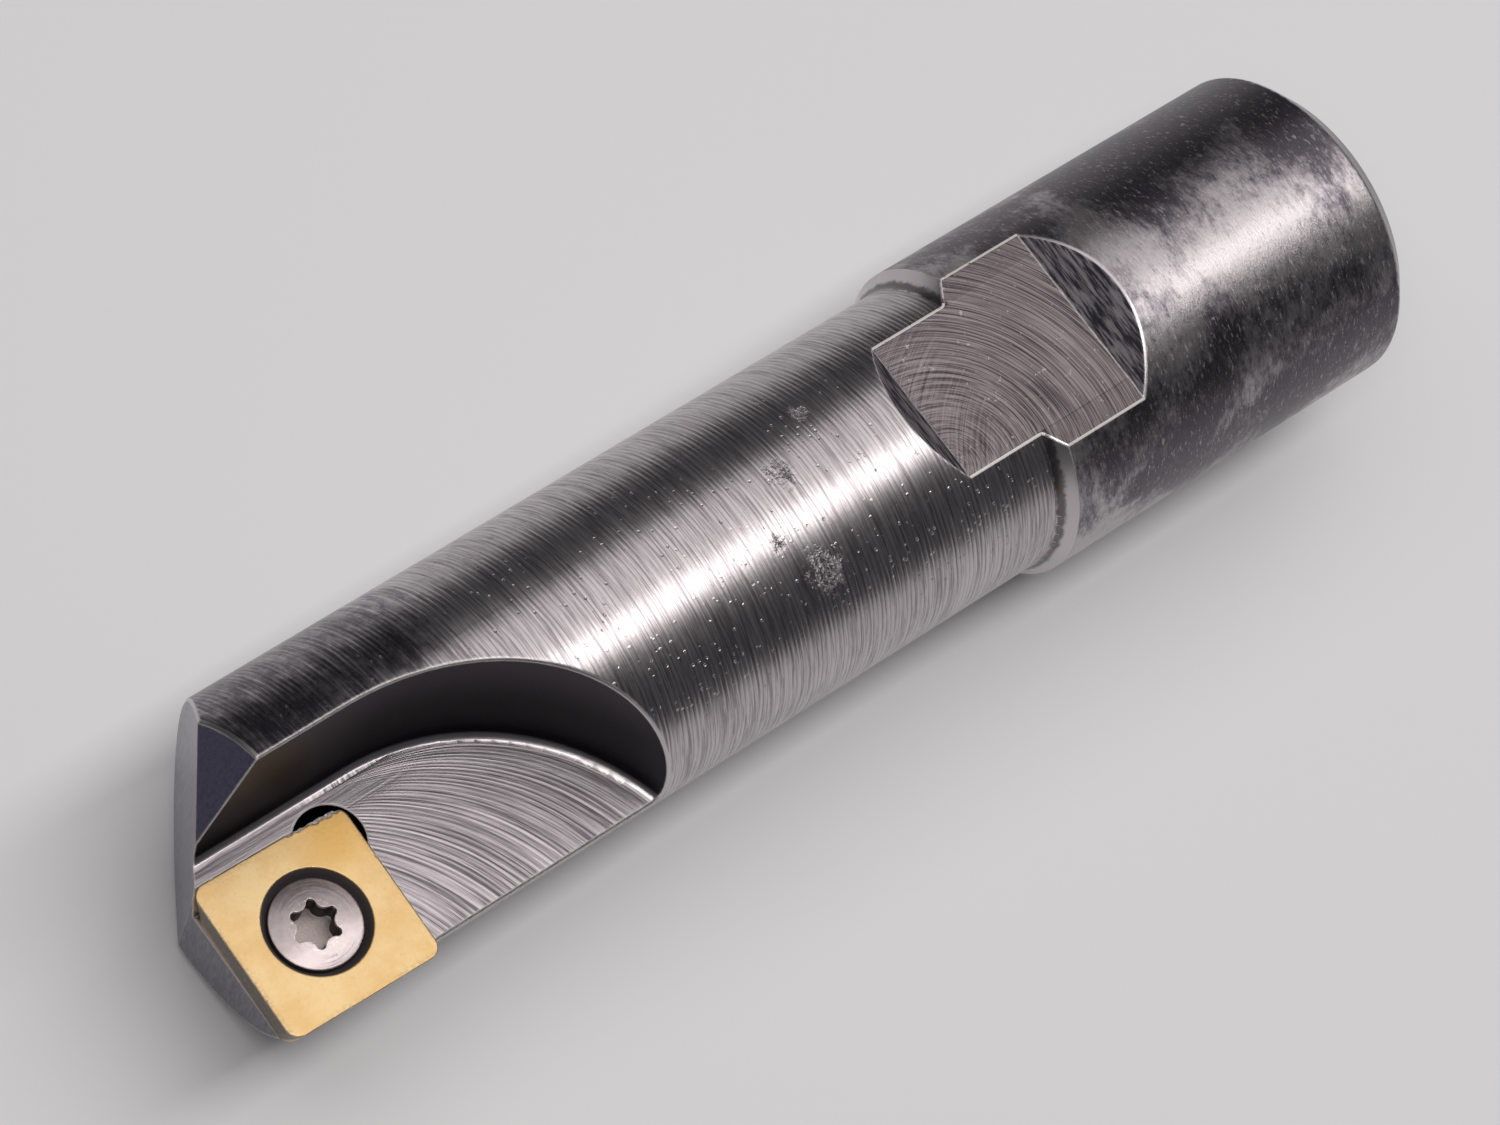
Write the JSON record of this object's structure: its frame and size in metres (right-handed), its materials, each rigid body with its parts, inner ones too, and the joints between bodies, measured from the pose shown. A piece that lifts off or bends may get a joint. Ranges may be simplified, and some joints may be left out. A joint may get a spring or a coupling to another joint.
{
  "type": "indexable end mill",
  "caption": "Indexable end mill: round steel shank with a side-lock flat, slimmer neck with a chip flute, and a square coated insert held in its seat by a six-lobe screw.",
  "frame": {"origin": "on the tool's axis, in the plane where the full shank diameter starts", "axes": "+X along the axis towards the shank's end, +Z square to the insert's top face, the flute floor and the shank's flat, cutting corner on the -Y side"},
  "size_m": [0.0791, 0.019, 0.019],
  "materials": {
    "tool_steel": "turned and milled alloy steel, bare and bright on the neck, worn dark on the shank",
    "coated_carbide": "satin gold-coloured hard coating on ground carbide",
    "screw_steel": "worn, rounded hardened steel head"
  },
  "bodies": {
    "cutter": {"cutter_body": "tool_steel"},
    "insert": {"insert": "coated_carbide"},
    "screw": {"insert_screw": "screw_steel"}
  },
  "joints": [
    {"name": "insert_lift", "type": "slide", "parent": "cutter", "child": "insert", "axis": [0, 0, 1], "range_m": [0, 0.003]},
    {"name": "screw_turn", "type": "hinge", "parent": "insert", "child": "screw", "pos_m": [-0.04831, -0.00464, 0], "axis": [0, 0, 1], "range_deg": [0, 1801]}
  ],
  "couplings": [
    {"joint": "screw_turn", "follows": "insert_lift", "rad_per_m": 10472}
  ]
}
